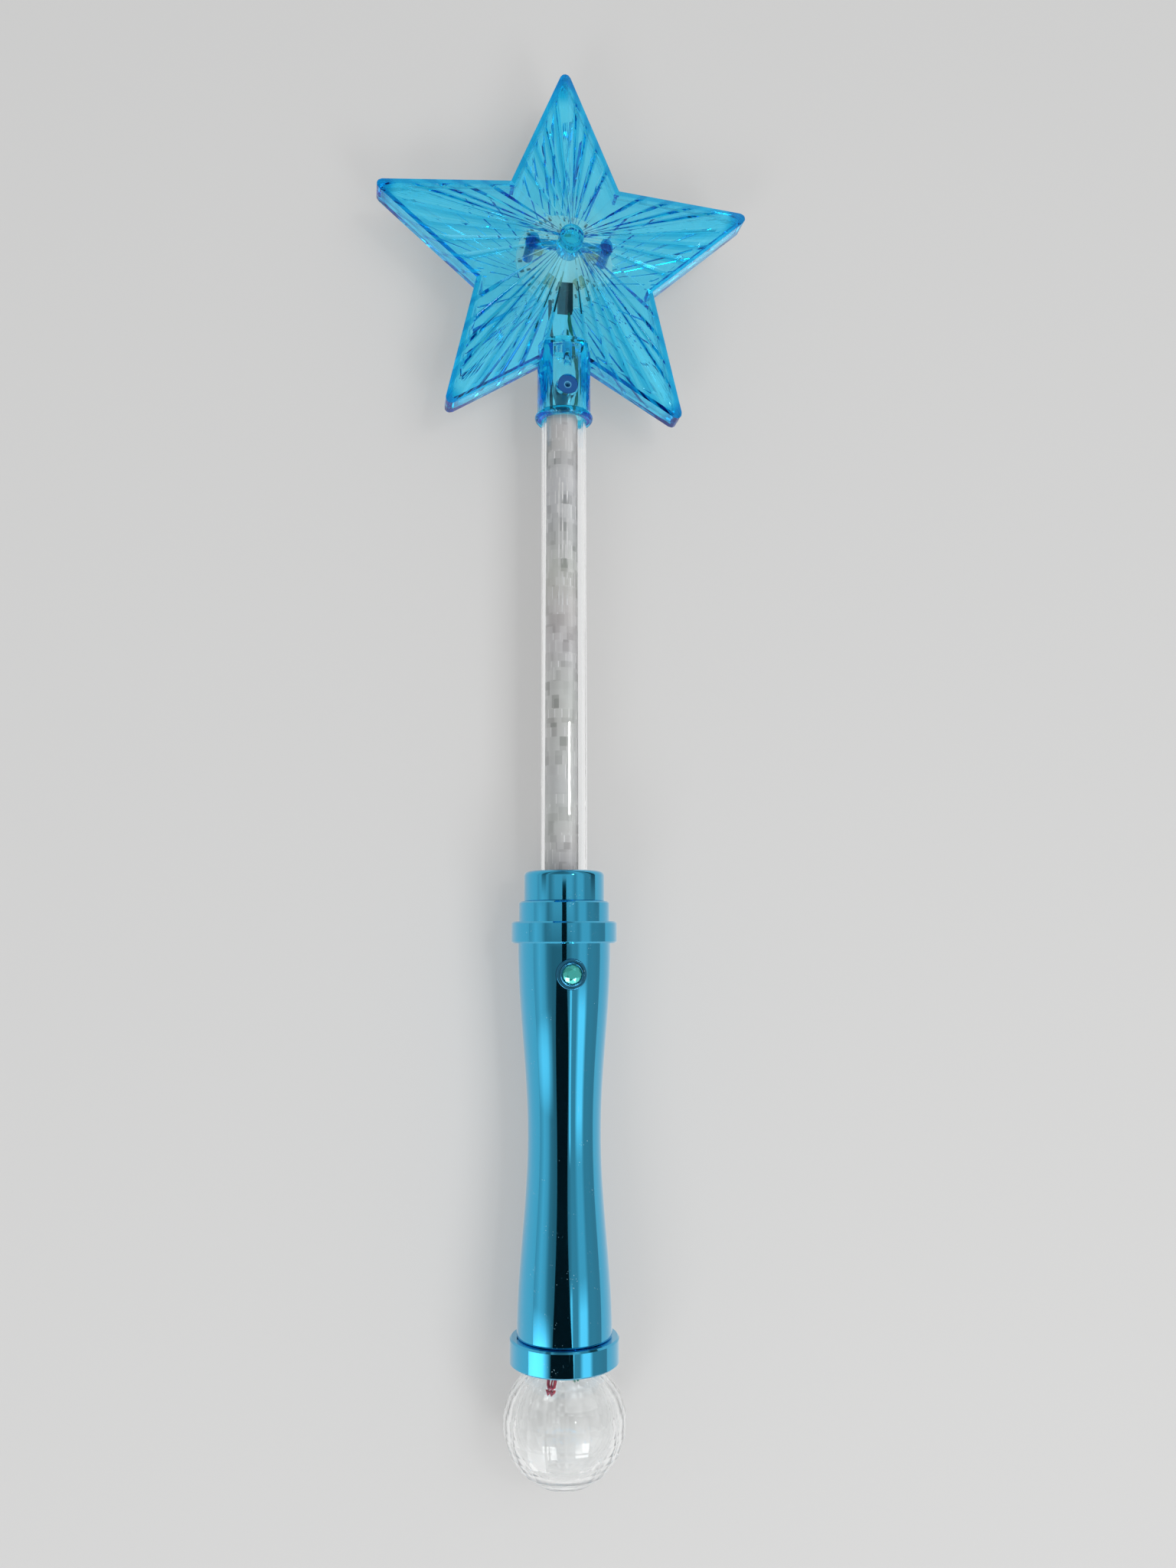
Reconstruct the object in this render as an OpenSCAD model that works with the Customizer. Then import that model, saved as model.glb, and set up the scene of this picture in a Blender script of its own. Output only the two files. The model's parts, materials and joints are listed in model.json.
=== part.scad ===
// Light-up star wand lying on its back: the long axis runs along Y, the star is at +Y and the
// star's face and the push button look up, along +Z. The ball at the -Y end rests on z = 0.

/* [Star] */
// Distance from the star's centre to the sharp point where an arm's edges would meet
star_tip_r = 67.2; // [55:0.1:85]
// Distance from the star's centre to the notches between the arms
star_notch_r = 30.6; // [26:0.1:36]
// Radius of the rounded tips
tip_round = 1.8; // [0.8:0.1:2.4]
// Height of the upright rim of one shell
rim_h = 3.9; // [3:0.1:7]
// Height of the pyramid's peak above the joint between the shells
peak_h = 16.4; // [13:0.1:17]
// Wall of the star shells
star_wall = 1.8; // [1.4:0.1:2.4]
// Plain border between the rim and the ends of the flutes
border_w = 2; // [1:0.1:4]
// Grooves in each half of an arm
grooves = 4; // [2:1:5]
// Depth of a groove at its outer end
groove_depth = 0.9; // [0.3:0.1:1.2]
// Share of a half arm's edge that one side of a groove takes
groove_share = 0.03; // [0.01:0.005:0.04]
// Length of the chisel end of a groove
groove_end = 1.1; // [0.5:0.1:3]
// Diameter of the hub on each shell
hub_d = 7.7; // [6:0.1:10]
// Diameter of the hub's recess
hub_recess_d = 5.4; // [3:0.1:5.6]
// Depth of the hub's recess
hub_recess_h = 1.2; // [0.4:0.1:1.6]
// Height of the hub above the pyramid's peak
hub_rise = 0.8; // [0.4:0.1:1.6]
// Distance from the centre to the board posts
post_reach = 12; // [9:0.1:13]
// Diameter of the board posts
post_d = 3.5; // [2.5:0.1:5]
// Width of the arms that tie the posts to the hub
tie_w = 2; // [1.4:0.1:3]
// Height of those arms
tie_h = 3.4; // [2:0.1:5]

/* [Neck] */
// Outer diameter of the neck
neck_d = 17.3; // [16.8:0.1:20]
// Length of the neck
neck_len = 25.7; // [22:0.1:34]
// How far the neck reaches past the notch, into the star
neck_reach = 1.4; // [0:0.1:4]
// Thickness of the stop wall at the neck's inner end
neck_stop = 1.6; // [1:0.1:3]
// Diameter of the hole that the leads pass through in the stop wall
lead_way_d = 9; // [7:0.1:11]
// Outer diameter of the bead round the neck's mouth
bead_d = 18.9; // [18.4:0.1:22]
// Width of the bead along the neck
bead_w = 2.6; // [1.6:0.1:4]
// Diameter of the pin that locks the tube
pin_d = 6.4; // [4:0.1:6.6]
// Diameter of the bore in the pin
pin_bore_d = 1.8; // [1:0.1:3]
// Distance of the pin from the neck's mouth
pin_from_mouth = 9.5; // [7:0.1:13]

/* [Tube] */
// Outer diameter of the clear tube
tube_d = 14.5; // [13.6:0.1:14.8]
// Wall of the clear tube
tube_wall = 1; // [0.6:0.1:1.4]
// Length of tube between the handle and the neck
tube_show = 145.7; // [100:0.1:220]
// Diameter of the rolled film inside the tube
film_d = 10.6; // [9.6:0.1:11.2]
// Thickness of the film
film_t = 0.15; // [0.1:0.05:0.2]
// How far the film's edge laps over itself, in degrees
film_lap = 50; // [20:5:100]
// Height of the film's lower edge above the shelf that the tube stands on
film_lift = 10; // [6:0.1:16]
// How far the film's upper edge is tucked into the neck
film_tuck = 1.5; // [0:0.1:4]

/* [Handle] */
// Length of the waisted grip
grip_len = 116.6; // [110:0.1:150]
// Diameter of the grip at both ends
grip_end_d = 28.7; // [28:0.1:31]
// Diameter of the grip at its waist
grip_waist_d = 22.4; // [21.6:0.1:27]
// Wall of the handle halves
handle_wall = 1.6; // [1.2:0.1:2]
// Diameter of the wide collar at the top of the grip
wide_collar_d = 32.8; // [31.5:0.1:38]
// Length of the wide collar
wide_collar_len = 6.6; // [4:0.1:10]
// Diameter of the middle collar
mid_collar_d = 28.2; // [26.5:0.1:31]
// Length of the middle collar
mid_collar_len = 6.2; // [4:0.1:10]
// Diameter of the ferrule that closes the handle's top
ferrule_d = 25; // [23:0.1:26]
// Length of the ferrule
ferrule_len = 9.4; // [7:0.1:14]
// Radius of the ferrule's rounded top edge
ferrule_round = 1.6; // [0.5:0.1:2]
// Diameter of the end ring round the ball's mouth
end_ring_d = 32.8; // [31.5:0.1:38]
// Length of the end ring
end_ring_len = 7.6; // [7:0.1:11]
// Chamfer on the edges of the collars and the end ring
collar_edge = 0.5; // [0.2:0.1:0.8]

/* [Ball] */
// Diameter of the ball across its corners
ball_d = 37; // [33.5:0.1:42]
// Facets round the ball
ball_facets = 20; // [16:2:26]
// Wall of the ball
ball_wall = 2; // [1.2:0.1:2.4]
// Outer diameter of the ball's mouth
mouth_d = 15; // [13.5:0.1:16]
// Wall of the ball's mouth
mouth_wall = 1.6; // [1:0.1:2]
// Outer diameter of the rim that the end ring holds
mouth_rim_d = 24; // [23:0.1:25]
// Thickness of that rim
mouth_rim_t = 1.4; // [1:0.1:1.8]
// Thickness of the end ring under the rim
ring_lip = 2.2; // [1.5:0.1:3]

/* [Button] */
// Distance from the wide collar to the middle of the button
button_from_collar = 9.2; // [8:0.1:14]
// Diameter of the button
button_d = 7.2; // [6:0.1:8]
// Outer diameter of the raised ring round the button
button_ring_d = 9.2; // [8.6:0.1:11]
// Height of the raised ring above the grip
button_ring_rise = 0.5; // [0.2:0.1:1]
// Height of the button above its ring
button_rise = 0.9; // [0.9:0.1:1.6]
// Travel of the button
button_travel = 0.8; // [0.4:0.1:0.8]
// Diameter of the stone in the button
jewel_d = 5.9; // [4:0.1:6]
// Diameter of the button's flange inside the handle
button_flange_d = 9.8; // [9:0.1:10.4]
// Length of the stem between the button's flange and the switch's plunger
button_stem = 1.6; // [1:0.1:2]
// Side of the square switch
switch_w = 6; // [5:0.1:7]
// Height of the switch
switch_h = 3.4; // [3:0.1:4]
// Diameter of the switch's plunger
plunger_d = 3.4; // [2.5:0.1:4]

/* [Electrics] */
// Diameter of the board in the star
star_board_d = 31.5; // [29:0.1:33]
// Thickness of the boards
board_t = 1.2; // [0.8:0.1:1.6]
// Lamps on the star's board
star_lamps = 5; // [3:2:5]
// Distance of the lamps from the centre of the star's board
lamp_ring_r = 9; // [8:0.1:9.4]
// Side of a lamp on the star's board
lamp_w = 3.5; // [2.5:0.1:4]
// Width of the connector on the star's board
plug_w = 5; // [4:0.1:6]
// Length of the connector
plug_len = 9.6; // [7:0.1:10]
// How far the connector hangs over the board's edge
plug_over = 2.5; // [1:0.1:4]
// Length of the control board
control_len = 26; // [22:0.1:30]
// Width of the control board
control_w = 18; // [17:0.1:19]
// How far the control board reaches past the middle of the button
control_over = 6.5; // [5:0.1:7]
// Diameter of a round lamp
lamp_d = 5; // [4:0.1:5.4]
// Diameter of a button cell
cell_d = 11.6; // [9.5:0.1:11.8]
// Thickness of a button cell
cell_t = 5.4; // [3:0.1:5.6]
// Button cells in the stack
cells = 3; // [2:1:3]
// Wall of the cell tray
tray_wall = 1.2; // [0.8:0.1:1.4]
// Distance of the cell tray from the lower end of the grip
tray_lift = 9; // [8:0.1:12]
// Thickness of the cell contacts
contact_t = 0.5; // [0.3:0.1:0.8]
// Space for the sprung leaf behind the cells
leaf_gap = 2.6; // [2:0.1:4]
// Diameter of the leads
lead_d = 1.2; // [0.8:0.1:1.3]
// Diameter of the door screw's head
screw_head_d = 4.2; // [3.6:0.1:4.6]
// Diameter of the door screw's shank
screw_d = 2; // [1.6:0.1:2.4]

/* [Fits] */
// Gap between pieces that are fixed together
fit = 0.1; // [0.05:0.01:0.2]
// Gap round pieces that slide
slide_fit = 0.15; // [0.1:0.01:0.2]
// Gap round the battery door
door_gap = 0.2; // [0.1:0.05:0.4]

/* [Hidden] */
$fn = 96;

// The star's outline: five arms, each mirrored about its own axis
arm_turn = 72;
half_turn = arm_turn / 2;
arm_half = atan(star_notch_r * sin(half_turn) / (star_tip_r - star_notch_r * cos(half_turn)));
tip_r = star_tip_r - tip_round / sin(arm_half) + tip_round;
least_round = 0.3;
hub_top = peak_h + hub_rise;

// The ball's facets are flat on the floor, so its equator falls inside a row of facets
ball_r = ball_d / 2;
facet_turn = 360 / ball_facets;
facet_rows = ball_facets / 2;
function facet_lat(k) = -90 + facet_turn * (k + 0.5);
ball_end = ball_r * sin(facet_lat(facet_rows - 1));
ball_top = ball_r * sin(facet_lat(facet_rows - 2));
axis_z = ball_r * pow(cos(facet_turn / 2), 2);
ball_gap = 0.4;

// Places along the wand, from the ball to the star's tip
span = ball_end + ball_top + ball_gap + end_ring_len + grip_len + wide_collar_len + mid_collar_len
    + ferrule_len + tube_show + neck_len - neck_reach + star_notch_r + tip_r;
ball_y = ball_end - span / 2;
ring_y = ball_y + ball_top + ball_gap;
grip_y = ring_y + end_ring_len;
collar_y = grip_y + grip_len;
mid_y = collar_y + wide_collar_len;
ferrule_y = mid_y + mid_collar_len;
tube_y = ferrule_y + ferrule_len;
neck_y = tube_y + tube_show;
neck_end = neck_y + neck_len;
star_y = neck_end - neck_reach + star_notch_r;
pin_y = neck_y + pin_from_mouth;

// Handle: waisted grip, collars, seats for the tube, the ferrule and the end ring
grip_steps = 24;
function grip_r(y) = (grip_end_d + grip_waist_d) / 4
    - (grip_end_d - grip_waist_d) / 4 * cos(360 * (y - grip_y - grip_len / 2) / grip_len);
function grip_in(y) = grip_r(y) - handle_wall;
function grip_at(i) = grip_y + grip_len * i / grip_steps;
shelf_t = 2;
shelf_y = collar_y + shelf_t;
tube_seat_r = tube_d / 2 + fit;
ferrule_wall = 1.6;
ferrule_top = 1.8;
cap_r = ferrule_d / 2 - ferrule_wall - fit;
cap_y = tube_y - ferrule_top - fit;
spigot_r = grip_end_d / 2 - handle_wall;
rim_y = ring_y + ring_lip + fit;
spigot_y = rim_y + mouth_rim_t + fit;
lead_hole_x = 5;
lead_hole_d = lead_d + 0.8;
tube_low = shelf_y + fit;
tube_high = neck_end - neck_stop - fit;
film_low = shelf_y + film_lift;
film_high = neck_y + film_tuck;

// Button, switch and control board, as heights above the wand's axis
button_y = collar_y - button_from_collar;
button_ring_top = grip_r(button_y) + button_ring_rise;
button_seat_h = grip_in(button_y) - 0.6;
button_flange_t = 1;
button_top = button_ring_top + button_rise;
flange_top = button_seat_h - fit;
plunger_out = button_travel + 0.4;
plunger_in = 1.6;
switch_top = flange_top - button_flange_t - button_stem - plunger_out;
switch_low = switch_top - switch_h;
control_h = switch_low - board_t;
control_y = button_y - control_len + control_over;
jewel_set = 0.7;
jewel_crown = 0.7;

// Cell tray, its bulkheads and the door over it
cell_h = -0.5;
cell_side = 0.3;
tray_y = grip_y + tray_lift;
tray_in_len = cells * cell_t + contact_t + leaf_gap + 2 * fit;
tray_len = tray_in_len + 2 * tray_wall;
tray_half_w = cell_d / 2 + cell_side + tray_wall;
tray_roof = cell_h + cell_d / 2 + fit + tray_wall;
tray_end = tray_y + tray_len;
tray_low = -sqrt(pow(grip_in(tray_end) - fit, 2) - pow(tray_half_w, 2));
plate_y = tray_y + tray_len - tray_wall - contact_t - fit;
leaf_y = tray_y + tray_wall + fit;
cell_y = plate_y - fit - cells * cell_t;
tab_w = 2.4;
tab_rise = 1.4;
bulkhead_t = 1.6;
bulkhead_top = -1;
screw_boss_d = 5.2;
screw_y = tray_y + tray_len + fit + bulkhead_t + screw_boss_d / 2 - 0.8;
screw_len = 7;
screw_head_t = 0.8;
screw_floor = grip_in(screw_y) + 0.8;
door_w = 15;
door_y = tray_y + 0.4;
door_end = screw_y + screw_boss_d / 2 + 1.6;
door_cut_h = tray_low + 0.4;
tongue_w = 6;
tongue_len = 2.4;
tongue_t = 1.1;
tongue_gap = 0.65;
boss_gap = 0.5;

// Ball lamp
bush_len = 4;
bush_d = mouth_d - 2 * mouth_wall - 2 * fit;
bush_y = ring_y - 0.4;
lamp_flange_d = lamp_d + 0.8;
lamp_flange_t = 1;
lamp_body_len = 6;
ball_lead_x = 4.4;

// Routes of the leads: across, along the wand, and above its axis
plug_y = star_y - star_board_d / 2 - plug_over;
bush_end = bush_y + bush_len;
over_tray = tray_roof + 1.2;
over_board = control_h + board_t + lead_d / 2 + fit;
under_board = control_h - lead_d / 2 - fit;
star_black_route = [
    [-5, star_y - star_board_d / 2 + 1.5, 1.5], [-5, star_y - 19, 1.5], [-4.6, star_y - 25, 1],
    [-3.4, neck_end, 0], [-4.6, pin_y + 8, 0], [-4.7, pin_y, 0], [-4, pin_y - 6, 0], [-2.6, neck_y - 2, 0],
    [-2, neck_y - 12, 0], [-2, tube_y + 20, 0], [-2.4, film_low, 0], [-4.6, shelf_y + 4, 0],
    [-5, shelf_y + 1.5, 0], [-5, collar_y - 1.5, 0], [-5, collar_y - 6, under_board - 1.2],
    [-5, collar_y - 10, under_board], [-5, collar_y - 14, under_board]
];
star_green_route = [
    [1.2, plug_y - fit, 2.2], [1.6, plug_y - 3, 2], [2.6, plug_y - 8, 1], [3.4, neck_end - 1, 0],
    [4.6, pin_y + 8, 0], [4.7, pin_y, 0], [3.2, pin_y - 6, 0], [2.2, neck_y - 2, 0], [2, neck_y - 12, 0],
    [2, tube_y + 20, 0], [2.4, film_low, 0], [4.6, shelf_y + 4, 0], [5, shelf_y + 1.5, 0],
    [5, collar_y - 1.5, 0], [5, collar_y - 6, under_board - 1.2], [5, collar_y - 10, under_board],
    [5, collar_y - 14, under_board]
];
ball_red_route = [
    [-6, control_y + 2.2, over_board], [-6, control_y - 3, over_board], [-5.4, control_y - 12, 5.4],
    [-5, control_y - 24, 5.6], [-4.8, tray_end + 9, 6.6], [-5, tray_end + 1, over_tray],
    [-5, tray_y + 1, over_tray], [-5, tray_y - 4, 6.4], [-4.6, grip_y, 3], [-4.4, bush_end + 2, 0.4],
    [-4.4, bush_end, 0], [-4.4, bush_y, 0],
    [-4.6, bush_y - 2.3, 0.4], [-4.9, bush_y - 4.3, 1.4], [-4.6, bush_y - 5.3, 2.6], [-3.8, bush_y - 4.7, 3],
    [-3.3, bush_y - 3.3, 2.4], [-3.1, bush_y - 1.9, 1.4]
];
ball_green_route = [
    [6, control_y + 2.2, over_board], [6, control_y - 3, over_board], [5.4, control_y - 12, 5.4],
    [5, control_y - 24, 5.6], [4.8, tray_end + 9, 6.6], [5, tray_end + 1, over_tray],
    [5, tray_y + 1, over_tray], [5, tray_y - 4, 6.4], [4.6, grip_y, 3], [4.4, bush_end + 2, 0.4],
    [4.4, bush_end, 0], [4.4, bush_y, 0],
    [4.2, bush_y - 2, 0], [3.7, bush_y - 3.4, 0], [3.2, bush_y - 4, 0]
];
cell_red_route = [
    [1.9, plate_y + 0.8, tray_roof + 0.7], [1.9, tray_end + 5, tray_roof + 0.7], [2, control_y - 24, 6],
    [2.2, control_y - 4, over_board], [2.2, control_y + 2.2, over_board]
];
cell_black_route = [
    [-1.9, leaf_y, tray_roof + 0.8], [-1.9, leaf_y + 6, tray_roof + 1], [-1.9, tray_end + 5, tray_roof + 0.9],
    [-2, control_y - 24, 6], [-2.2, control_y - 4, over_board], [-2.2, control_y + 2.2, over_board]
];

// Puts a piece that is drawn along Z onto the wand's axis, with its Y pointing down
module on_axis(y = 0) translate([0, y, axis_z]) rotate([-90, 0, 0]) children();

// Puts a piece that is drawn lying at height 0 up to the wand's axis
module above_axis(x = 0, y = 0, h = 0) translate([x, y, axis_z + h]) children();

// A block that is centred across the wand, given by its ends along and above the axis
module block(w, y0, y1, h0, h1) translate([-w / 2, y0, axis_z + h0]) cube([w, y1 - y0, h1 - h0]);

// Distance from the star's centre to its outline, drawn in by an inset, at an angle from an arm's axis
function edge_r(a, inset) =
    let (point = star_tip_r - inset / sin(arm_half))
    let (rad = max(tip_round - inset, least_round))
    let (centre = point - rad / sin(arm_half))
    a < atan2(rad * cos(arm_half), centre + rad * sin(arm_half))
        ? centre * cos(a) + sqrt(pow(rad, 2) - pow(centre * sin(a), 2))
        : point * sin(arm_half) / sin(arm_half + a);

// Angle of a ray that meets the border at a share of the way from the notch to the tip
function ray_angle(share) =
    let (notch = edge_r(half_turn, border_w))
    let (point = star_tip_r - border_w / sin(arm_half))
    atan2((1 - share) * notch * sin(half_turn), notch * cos(half_turn) * (1 - share) + point * share);

// Angles of half an arm from its tip to its notch, each with 1 in a groove and 0 beside it
tip_turn = atan2(tip_round * cos(arm_half), tip_r - tip_round + tip_round * sin(arm_half));
half_rays = concat(
    [[0, 0], [tip_turn / 2, 0], [tip_turn, 0]],
    [for (i = [grooves : -1 : 1], side = [1, 0, -1])
        [ray_angle(i / (grooves + 1) + side * groove_share), side == 0 ? 1 : 0]]
);
last_ray = len(half_rays) - 1;
rays = [for (arm = [0 : 4]) each concat(
    [for (ray = half_rays) [arm * arm_turn + ray[0], ray[0], ray[1]]],
    [[arm * arm_turn + half_turn, half_turn, 0]],
    [for (i = [last_ray : -1 : 1]) [(arm + 1) * arm_turn - half_rays[i][0], half_rays[i][0], half_rays[i][1]]]
)];
ray_count = len(rays);

// Height of the pyramid's face at a distance from the centre
function face_h(r, a) = peak_h - (peak_h - rim_h) * r / edge_r(a, 0);
function on_ray(ray, r, h) = [-r * sin(ray[0]), r * cos(ray[0]), h];
function face_point(ray, inset, sink) =
    let (r = edge_r(ray[1], inset))
    on_ray(ray, r, face_h(r, ray[1]) - sink);

// One fluted half of the star, hollow, standing on the joint between the shells
module fluted_half() {
    rings = [
        [for (ray = rays) on_ray(ray, edge_r(ray[1], 0), 0)],
        [for (ray = rays) face_point(ray, 0, 0)],
        [for (ray = rays) face_point(ray, border_w, 0)],
        [for (ray = rays) face_point(ray, border_w + groove_end, ray[2] * groove_depth)],
        [for (ray = rays) on_ray(ray, hub_d / 4, face_h(hub_d / 4, ray[1]))],
        [for (ray = rays) on_ray(ray, hub_d / 4, face_h(hub_d / 4, ray[1]) - star_wall)],
        [for (ray = rays) face_point(ray, star_wall, star_wall)],
        [for (ray = rays) on_ray(ray, edge_r(ray[1], star_wall), 0)]
    ];
    ring_count = len(rings);
    outer_cap = 4;
    points = [for (ring = rings) each ring];
    sides = [for (k = [0 : ring_count - 1]) if (k != outer_cap) for (i = [0 : ray_count - 1])
        let (j = (i + 1) % ray_count, a = k * ray_count, b = (k + 1) % ring_count * ray_count)
        each [[a + i, b + i, b + j], [a + i, b + j, a + j]]];
    caps = [
        [for (i = [ray_count - 1 : -1 : 0]) outer_cap * ray_count + i],
        [for (i = [0 : ray_count - 1]) (outer_cap + 1) * ray_count + i]
    ];
    polyhedron(points, concat(sides, caps), convexity = 8);
}

// Hub, ties and posts that hold the board, on one shell
module board_carrier() {
    tie_top = face_h(post_reach, half_turn / 2) - star_wall / 2;
    post_low = board_t / 2 + fit;
    translate([0, 0, tie_top - tie_h]) cylinder(d = hub_d, h = hub_top - tie_top + tie_h);
    for (side = [-1, 1]) {
        translate([min(0, side * post_reach), -tie_w / 2, tie_top - tie_h]) cube([post_reach, tie_w, tie_h]);
        translate([side * post_reach, 0, post_low]) cylinder(d = post_d, h = tie_top - post_low);
    }
}

// Half of the neck with its bead and its stop wall, drawn along Z
module neck_half() {
    neck_in = tube_d / 2 + fit;
    bead_r = bead_w / 2;
    rotate_extrude(angle = 180) {
        difference() {
            square([neck_d / 2, neck_len]);
            translate([0, -1]) square([neck_in, neck_len - neck_stop + 1]);
            square([lead_way_d / 2, neck_len + 1]);
        }
        intersection() {
            translate([bead_d / 2 - bead_r, bead_r]) circle(bead_r);
            translate([neck_in, 0]) square([bead_d, bead_w]);
        }
    }
}

// One shell of the star: the back one is the same, turned over
module star_shell() {
    difference() {
        union() {
            difference() {
                translate([0, star_y, 0]) fluted_half();
                translate([0, neck_y, 0]) rotate([-90, 0, 0]) cylinder(d = neck_d - 2 * fit, h = neck_len);
            }
            translate([0, star_y, 0]) board_carrier();
            translate([0, neck_y, 0]) rotate([90, 0, 0]) mirror([0, 0, 1]) neck_half();
        }
        translate([0, star_y, hub_top - hub_recess_h]) cylinder(d = hub_recess_d, h = hub_recess_h + 1);
        translate([0, pin_y, 0]) cylinder(d = pin_d + 2 * fit, h = neck_d);
        translate([0, neck_end - neck_stop, 0]) rotate([-90, 0, 0])
            cylinder(d = lead_way_d, h = 2 * star_wall + 4);
    }
}

module star_front_shell() color("deepskyblue", 0.6) above_axis() star_shell();
module star_back_shell() color("deepskyblue", 0.6) above_axis() mirror([0, 0, 1]) star_shell();

// Hollow pin through the neck and the tube
module neck_pin() {
    pin_half = sqrt(pow(neck_d / 2, 2) - pow(pin_d / 2, 2));
    color("dodgerblue") above_axis(0, pin_y, -pin_half) difference() {
        cylinder(d = pin_d, h = 2 * pin_half);
        translate([0, 0, -1]) cylinder(d = pin_bore_d, h = 2 * pin_half + 2);
    }
}

module star_board() {
    color("white") above_axis(0, star_y, -board_t / 2) cylinder(d = star_board_d, h = board_t);
}

module star_lamps_group() {
    lamp_h = 1.6;
    lens_h = 0.3;
    color("lightyellow") above_axis(0, star_y, board_t / 2) for (i = [0 : star_lamps - 1])
        rotate(90 + i * 360 / star_lamps) translate([lamp_ring_r, 0, 0]) {
            translate([-lamp_w / 2, -lamp_w / 2, 0]) cube([lamp_w, lamp_w, lamp_h]);
            cylinder(d = lamp_w * 0.8, h = lamp_h + lens_h);
        }
}

module lead_connector() {
    plug_h = 3;
    socket_y = plug_y + plug_len * 0.3;
    color("black") difference() {
        block(plug_w, plug_y, plug_y + plug_len, board_t / 2, board_t / 2 + plug_h);
        block(plug_w / 2, socket_y, socket_y + plug_len * 0.4, board_t / 2 + plug_h - 0.6, plug_h * 2);
    }
}

// A round lead swept along its route
module lead(route) {
    lead_sides = 8;
    last = len(route) - 1;
    lean = [0.5, 0.1, 1];
    points = [for (i = [0 : last])
        let (ahead = route[min(i + 1, last)] - route[max(i - 1, 0)])
        let (u = cross(ahead, lean) / norm(cross(ahead, lean)))
        let (v = cross(u, ahead) / norm(ahead))
        for (k = [0 : lead_sides - 1])
            route[i] + lead_d / 2 * (cos(360 * k / lead_sides) * u + sin(360 * k / lead_sides) * v)];
    sides = [for (i = [0 : last - 1], k = [0 : lead_sides - 1])
        let (a = i * lead_sides, n = (k + 1) % lead_sides)
        each [[a + k, a + lead_sides + n, a + lead_sides + k], [a + k, a + n, a + lead_sides + n]]];
    caps = [
        [for (k = [lead_sides - 1 : -1 : 0]) k],
        [for (k = [0 : lead_sides - 1]) last * lead_sides + k]
    ];
    above_axis() polyhedron(points, concat(sides, caps), convexity = 6);
}

module star_lead_black() color("black") lead(star_black_route);
module star_lead_green() color("green") lead(star_green_route);

module shaft_tube() {
    color("whitesmoke", 0.4) difference() {
        on_axis(tube_low) cylinder(d = tube_d, h = tube_high - tube_low);
        on_axis(tube_low - 1) cylinder(d = tube_d - 2 * tube_wall, h = tube_high - tube_low + 2);
        above_axis(0, pin_y, -tube_d) cylinder(d = pin_d + 2 * fit, h = 2 * tube_d);
    }
}

// Film rolled into a loose tube whose edge laps over itself, lying against one side of the tube
module hologram_film() {
    film_steps = 60;
    turn = 360 + film_lap;
    lap_gap = 0.2;
    function roll(i, inner) =
        let (a = turn * i / film_steps)
        let (r = film_d / 2 - (film_t + lap_gap) * a / 360 - inner * film_t)
        [r * cos(a), r * sin(a)];
    side = tube_d / 2 - tube_wall - film_d / 2 - fit;
    color("lightgray", 0.7) on_axis(film_low) translate([-side, 0, 0]) linear_extrude(film_high - film_low)
        polygon(concat(
            [for (i = [0 : film_steps]) roll(i, 0)],
            [for (i = [film_steps : -1 : 0]) roll(i, 1)]
        ));
}

// Outline of the handle's wall, as distance from the axis and place along it
module handle_profile() {
    wide_r = wide_collar_d / 2;
    mid_r = mid_collar_d / 2;
    pocket_y = ferrule_y - handle_wall;
    step_y = grip_y + handle_wall;
    outside = concat(
        [[spigot_r, spigot_y], [spigot_r, grip_y]],
        [for (i = [0 : grip_steps]) [grip_r(grip_at(i)), grip_at(i)]],
        [[wide_r - collar_edge, collar_y], [wide_r, collar_y + collar_edge], [wide_r, mid_y - collar_edge]],
        [[wide_r - collar_edge, mid_y], [mid_r, mid_y], [mid_r, ferrule_y - collar_edge]],
        [[mid_r - collar_edge, ferrule_y], [cap_r, ferrule_y], [cap_r, cap_y]]
    );
    inside = concat(
        [[tube_seat_r, cap_y], [tube_seat_r, shelf_y]],
        [[lamp_d / 2 + fit, shelf_y], [lamp_d / 2 + fit, collar_y]],
        [[tube_seat_r + handle_wall, collar_y], [tube_seat_r + handle_wall, pocket_y], [spigot_r, pocket_y]],
        [for (i = [grip_steps : -1 : 1]) [grip_in(grip_at(i)), grip_at(i)]],
        [[grip_in(step_y), step_y], [spigot_r - handle_wall, step_y], [spigot_r - handle_wall, spigot_y]]
    );
    polygon(concat(outside, inside));
}

// Half of the handle's wall: the front half is turned over
module handle_half(turn) {
    difference() {
        on_axis() rotate(turn) rotate_extrude(angle = 180) handle_profile();
        for (side = [-1, 1]) translate([side * lead_hole_x, 0, 0])
            on_axis(collar_y - 1) cylinder(d = lead_hole_d, h = shelf_t + 2);
    }
}

// Everything inside the middle of the grip's wall, to trim ribs to
module grip_core() {
    on_axis() rotate_extrude() polygon(concat(
        [for (i = [0 : grip_steps]) [grip_r(grip_at(i)) - handle_wall / 2, grip_at(i)]],
        [[0, collar_y], [0, grip_y]]
    ));
}

module handle_front_shell() {
    hole_d = button_d + 2 * slide_fit;
    color("royalblue") difference() {
        union() {
            handle_half(180);
            above_axis(0, button_y, button_seat_h)
                cylinder(d = button_ring_d, h = button_ring_top - button_seat_h);
        }
        above_axis(0, button_y, 0) cylinder(d = hole_d, h = button_ring_top + 1);
        above_axis(0, button_y, 0) cylinder(d = button_flange_d + 4 * slide_fit, h = button_seat_h);
    }
}

// Four posts that carry the control board
module board_posts() {
    post_w = 2.5;
    post_len = 2;
    for (side = [-1, 1], y = [control_y, control_y + control_len - post_len])
        translate([side * (control_w / 2 - post_w / 2), 0, 0])
            block(post_w, y, y + post_len, -grip_end_d / 2, control_h);
}

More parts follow.
